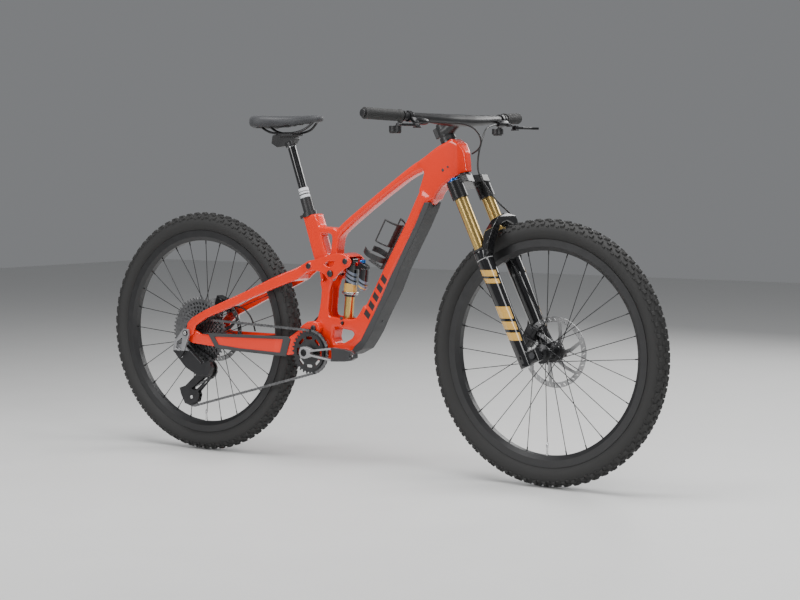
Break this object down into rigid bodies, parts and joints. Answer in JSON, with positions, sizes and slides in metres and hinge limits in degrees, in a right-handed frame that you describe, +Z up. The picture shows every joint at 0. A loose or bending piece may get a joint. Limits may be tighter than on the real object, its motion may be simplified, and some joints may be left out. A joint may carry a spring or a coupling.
{
  "type": "mountain bike",
  "caption": "Full-suspension trail mountain bike with knobbly tyres, single-crown telescopic fork, disc brakes, rear linkage with shock, one-piece bar and stem, and dropper seatpost.",
  "frame": {"origin": "on the ground midway between the two wheel axles, which is the middle of the bounding box's floor", "axes": "+X forward, +Y to the rider's left, +Z up"},
  "size_m": [1.9918, 0.8056, 1.0507],
  "materials": {
    "frame_paint": "gloss",
    "guard_rubber": "satin",
    "satin_black": "satin",
    "gloss_black": "gloss",
    "gold_coat": "polished",
    "blue_anodised": "anodised",
    "pivot_steel": "satin",
    "cage_plastic": "matt",
    "hose_jacket": "matt",
    "lever_alloy": "satin",
    "tyre_rubber": "matt",
    "rim_carbon": "satin",
    "hub_black": "satin",
    "spoke_steel": "black",
    "rotor_steel": "ground",
    "crank_carbon": "satin",
    "ring_alloy": "satin",
    "cog_steel": "satin",
    "derailleur_alloy": "satin",
    "pulley_plastic": "matt",
    "grip_rubber": "matt",
    "saddle_cover": "matt",
    "rail_metal": "satin",
    "post_black": "gloss"
  },
  "bodies": {
    "frame": {"head_tube": "frame_paint", "top_tube": "frame_paint", "down_tube": "frame_paint", "seat_tube": "frame_paint", "lower_frame": "frame_paint", "down_tube_guard": "guard_rubber", "frame_bearings_and_pins": "pivot_steel", "bottle_cage": "cage_plastic", "seat_clamp": "satin_black", "seatpost_outer": "satin_black"},
    "steering": {"crown_steerer": "satin_black", "stanchions": "gold_coat", "fork_top_caps": "blue_anodised", "headset_covers": "satin_black", "handlebar": "satin_black", "grips": "grip_rubber", "brake_lever_bodies": "satin_black", "control_pods": "satin_black", "handlebar_hoses": "hose_jacket"},
    "brake_lever_right": {"brake_lever_right": "lever_alloy"},
    "brake_lever_left": {"brake_lever_left": "lever_alloy"},
    "shift_button_upper": {"shift_button_upper": "cage_plastic"},
    "shift_button_lower": {"shift_button_lower": "cage_plastic"},
    "dropper_button": {"dropper_button": "cage_plastic"},
    "sliders": {"fork_lowers": "gloss_black", "fork_seals": "satin_black", "front_axle": "pivot_steel", "front_caliper": "lever_alloy"},
    "front_wheel": {"front_tyre": "tyre_rubber", "front_rim": "rim_carbon", "front_hub": "hub_black", "front_spokes": "spoke_steel", "front_rotor": "rotor_steel"},
    "crank": {"crankset": "crank_carbon", "chainring": "ring_alloy"},
    "chainstay": {"chainstay": "frame_paint", "chainstay_guard": "guard_rubber", "rear_axle": "pivot_steel", "derailleur_body": "derailleur_alloy", "chain": "cog_steel", "rear_brake_hose": "hose_jacket"},
    "seatstay": {"seatstay": "frame_paint", "rear_caliper": "lever_alloy"},
    "rocker": {"rocker_link": "frame_paint"},
    "shock_shaft": {"shock_shaft": "gold_coat"},
    "shock_body": {"shock_body": "gloss_black"},
    "shock_lever": {"shock_lever": "blue_anodised"},
    "rear_wheel": {"rear_tyre": "tyre_rubber", "rear_rim": "rim_carbon", "rear_hub": "hub_black", "rear_spokes": "spoke_steel", "rear_rotor": "rotor_steel"},
    "cassette": {"cassette": "cog_steel"},
    "derailleur_cage": {"derailleur_cage": "derailleur_alloy"},
    "upper_pulley": {"upper_pulley": "pulley_plastic"},
    "lower_pulley": {"lower_pulley": "pulley_plastic"},
    "seat": {"seatpost_stanchion": "post_black", "seatpost_head": "satin_black", "saddle_rails": "rail_metal", "saddle": "saddle_cover"}
  },
  "joints": [
    {"name": "steering", "type": "hinge", "parent": "frame", "child": "steering", "pos_m": [0.58229, 0, 0.35506], "axis": [-0.4305, 0, 0.9026], "range_deg": [-60, 60], "deforming": ["handlebar_hoses"]},
    {"name": "fork_travel", "type": "slide", "parent": "steering", "child": "sliders", "axis": [-0.4305, 0, 0.9026], "range_m": [0, 0.15], "stiffness_N_per_m": 9000, "deforming": ["handlebar_hoses"]},
    {"name": "front_wheel_spin", "type": "hinge", "parent": "sliders", "child": "front_wheel", "pos_m": [0.622, 0, 0.374], "axis": [0, 1, 0], "continuous": true},
    {"name": "brake_lever_right", "type": "hinge", "parent": "steering", "child": "brake_lever_right", "pos_m": [0.35668, -0.254, 1.00244], "axis": [0, 0, -1], "range_deg": [0, 18], "stiffness_Nm_per_rad": 0.9, "springref_deg": -14.32},
    {"name": "brake_lever_left", "type": "hinge", "parent": "steering", "child": "brake_lever_left", "pos_m": [0.35668, 0.254, 1.00244], "axis": [0, 0, 1], "range_deg": [0, 18], "stiffness_Nm_per_rad": 0.9, "springref_deg": -14.32},
    {"name": "shift_button_upper", "type": "slide", "parent": "steering", "child": "shift_button_upper", "axis": [0, 0, 1], "range_m": [0, 0.002], "stiffness_N_per_m": 700},
    {"name": "shift_button_lower", "type": "slide", "parent": "steering", "child": "shift_button_lower", "axis": [0, 0, 1], "range_m": [0, 0.002], "stiffness_N_per_m": 700},
    {"name": "dropper_button", "type": "slide", "parent": "steering", "child": "dropper_button", "axis": [0, 0, 1], "range_m": [0, 0.002], "stiffness_N_per_m": 700},
    {"name": "seat_height", "type": "slide", "parent": "frame", "child": "seat", "axis": [-0.3256, 0, 0.9455], "range_m": [-0.13, 0]},
    {"name": "rear_travel", "type": "hinge", "parent": "frame", "child": "chainstay", "pos_m": [-0.163, 0, 0.408], "axis": [0, 1, 0], "range_deg": [0, 17.5], "stiffness_Nm_per_rad": 1800, "deforming": ["chain", "rear_brake_hose"]},
    {"name": "seatstay_pivot", "type": "hinge", "parent": "chainstay", "child": "seatstay", "pos_m": [-0.622, 0, 0.374], "axis": [0, 1, 0], "range_deg": [-7.3, 0], "deforming": ["rear_brake_hose"]},
    {"name": "rocker_pivot", "type": "hinge", "parent": "frame", "child": "rocker", "pos_m": [-0.104, 0, 0.573], "axis": [0, 1, 0], "range_deg": [0, 50]},
    {"name": "shock_swing", "type": "hinge", "parent": "frame", "child": "shock_shaft", "pos_m": [-0.066, 0, 0.427], "axis": [0, 1, 0], "range_deg": [0, 8]},
    {"name": "shock_stroke", "type": "slide", "parent": "shock_shaft", "child": "shock_body", "axis": [0.0974, 0, 0.9952], "range_m": [-0.0535, 0]},
    {"name": "shock_lever", "type": "hinge", "parent": "shock_body", "child": "shock_lever", "pos_m": [-0.00988, 0, 0.61041], "axis": [0.0974, 0, 0.9952], "range_deg": [0, 60]},
    {"name": "rear_wheel_spin", "type": "hinge", "parent": "chainstay", "child": "rear_wheel", "pos_m": [-0.622, 0, 0.374], "axis": [0, 1, 0], "continuous": true},
    {"name": "crank_spin", "type": "hinge", "parent": "frame", "child": "crank", "pos_m": [-0.17, 0, 0.337], "axis": [0, 1, 0], "continuous": true},
    {"name": "cassette_spin", "type": "hinge", "parent": "chainstay", "child": "cassette", "pos_m": [-0.622, 0, 0.374], "axis": [0, 1, 0], "continuous": true},
    {"name": "upper_pulley_spin", "type": "hinge", "parent": "chainstay", "child": "upper_pulley", "pos_m": [-0.565, 0, 0.262], "axis": [0, 1, 0], "continuous": true},
    {"name": "derailleur_cage", "type": "hinge", "parent": "chainstay", "child": "derailleur_cage", "pos_m": [-0.565, 0, 0.262], "axis": [0, -1, 0], "range_deg": [0, 38], "stiffness_Nm_per_rad": 1.2, "springref_deg": -28.65, "deforming": ["chain"]},
    {"name": "lower_pulley_spin", "type": "hinge", "parent": "derailleur_cage", "child": "lower_pulley", "pos_m": [-0.632, 0, 0.17], "axis": [0, 1, 0], "continuous": true}
  ],
  "couplings": [
    {"joint": "seatstay_pivot", "follows": "rear_travel", "ratio": -0.4069},
    {"joint": "rocker_pivot", "follows": "rear_travel", "ratio": 2.834},
    {"joint": "shock_swing", "follows": "rear_travel", "ratio": 0.4387},
    {"joint": "shock_stroke", "follows": "rear_travel", "m_per_rad": -0.17332},
    {"joint": "cassette_spin", "follows": "crank_spin", "ratio": 1.5238},
    {"joint": "upper_pulley_spin", "follows": "crank_spin", "ratio": -2.2857},
    {"joint": "lower_pulley_spin", "follows": "crank_spin", "ratio": 2.2857}
  ]
}
